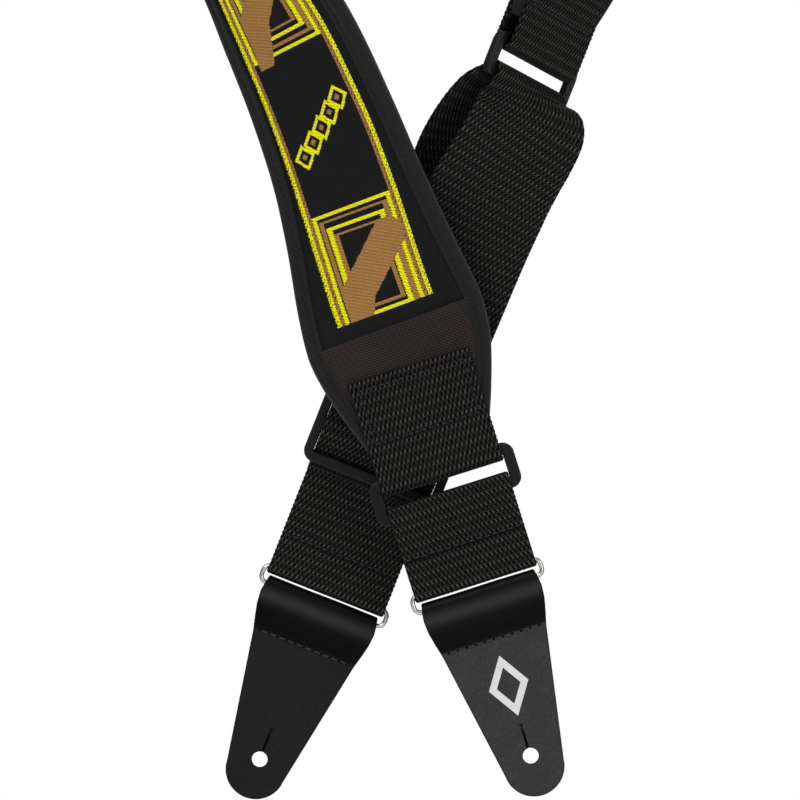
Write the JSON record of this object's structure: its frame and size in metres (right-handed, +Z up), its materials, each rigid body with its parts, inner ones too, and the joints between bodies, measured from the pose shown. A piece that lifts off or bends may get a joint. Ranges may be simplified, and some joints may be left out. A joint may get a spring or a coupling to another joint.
{
  "type": "guitar strap",
  "caption": "Padded shoulder strap for a guitar: woven-face pad curved into a hoop, webbing ends on rings, tri-glide length adjuster and folded leather button ends.",
  "frame": {"origin": "underside of the pad at the top of the shoulder hoop, where the strap rests on the shoulder", "axes": "+Z up; +X across the hoop towards the rear strand's side; -Y is the show side, which the camera of the catalogue view faces"},
  "size_m": [0.2039, 0.0779, 0.4999],
  "materials": {
    "neoprene": "matte closed-cell foam",
    "jacquard": "jacquard weave, black ground with yellow and brown yarns",
    "lining": "matte knitted lining",
    "binding_tape": "smooth knitted binding tape",
    "canvas": "fine nylon canvas",
    "webbing": "ribbed polypropylene webbing",
    "thread": "waxed thread",
    "black_hardware": "satin black",
    "nickel_wire": "polished nickel",
    "leather": "smooth black leather, semi-gloss",
    "foil": "silver-white foil"
  },
  "bodies": {
    "root": {"pad_core": "neoprene", "pad_face_fabric": "jacquard", "pad_back_lining": "lining", "pad_edge_binding": "binding_tape", "binding_stitching": "thread", "front_end_patch": "canvas", "rear_end_patch": "canvas", "front_tab_webbing": "webbing", "rear_tab_webbing": "webbing", "front_tab_stitching": "thread", "rear_tab_stitching": "thread"},
    "front_ring": {"front_ring": "black_hardware"},
    "front_link": {"front_link_webbing": "webbing", "front_link_stitching": "thread"},
    "front_wire_ring": {"front_wire_ring": "nickel_wire"},
    "front_leather": {"front_leather_end": "leather", "front_leather_stitching": "thread", "front_leather_emblem": "foil"},
    "rear_ring": {"rear_ring": "black_hardware"},
    "adjuster_loop": {"adjuster_webbing": "webbing"},
    "slider": {"slider_buckle": "black_hardware"},
    "tail": {"tail_webbing": "webbing", "tail_stitching": "thread"},
    "rear_wire_ring": {"rear_wire_ring": "nickel_wire"},
    "rear_leather": {"rear_leather_end": "leather", "rear_leather_stitching": "thread"}
  },
  "joints": [
    {"name": "front_ring_hinge", "type": "hinge", "parent": "root", "child": "front_ring", "pos_m": [0.01288, -0.009, -0.35833], "axis": [-0.9537, 0, -0.3007], "range_deg": [0, 60]},
    {"name": "front_link_hinge", "type": "hinge", "parent": "front_ring", "child": "front_link", "pos_m": [0.01709, -0.009, -0.37168], "axis": [-0.9537, 0, -0.3007], "range_deg": [-10, 45]},
    {"name": "front_wire_ring_hinge", "type": "hinge", "parent": "front_link", "child": "front_wire_ring", "pos_m": [0.02668, -0.009, -0.40211], "axis": [0.9537, 0, 0.3007], "range_deg": [-45, 45]},
    {"name": "front_leather_hinge", "type": "hinge", "parent": "front_wire_ring", "child": "front_leather", "pos_m": [0.02873, -0.009, -0.40859], "axis": [-0.9537, 0, -0.3007], "range_deg": [-60, 60]},
    {"name": "rear_ring_hinge", "type": "hinge", "parent": "root", "child": "rear_ring", "pos_m": [0.0522, 0.009, -0.19249], "axis": [0.5469, 0.809, -0.2154], "range_deg": [0, 30]},
    {"name": "adjuster_loop_hinge", "type": "hinge", "parent": "rear_ring", "child": "adjuster_loop", "pos_m": [0.04707, 0.009, -0.20552], "axis": [0.5469, 0.809, -0.2154], "range_deg": [0, 30]},
    {"name": "slider_slide", "type": "slide", "parent": "adjuster_loop", "child": "slider", "axis": [0.3665, 0, 0.9304], "range_m": [0, 0.06], "deforming": ["adjuster_webbing"]},
    {"name": "tail_slide", "type": "slide", "parent": "adjuster_loop", "child": "tail", "axis": [0.3665, 0, 0.9304], "range_m": [-0.06, 0]},
    {"name": "rear_wire_ring_hinge", "type": "hinge", "parent": "tail", "child": "rear_wire_ring", "pos_m": [-0.03239, 0.0132, -0.40723], "axis": [0.9304, 0, -0.3665], "range_deg": [-45, 45]},
    {"name": "rear_leather_hinge", "type": "hinge", "parent": "rear_wire_ring", "child": "rear_leather", "pos_m": [-0.03488, 0.0132, -0.41356], "axis": [-0.9304, 0, 0.3665], "range_deg": [-60, 60]}
  ],
  "couplings": [
    {"joint": "tail_slide", "follows": "slider_slide", "ratio": -1}
  ]
}
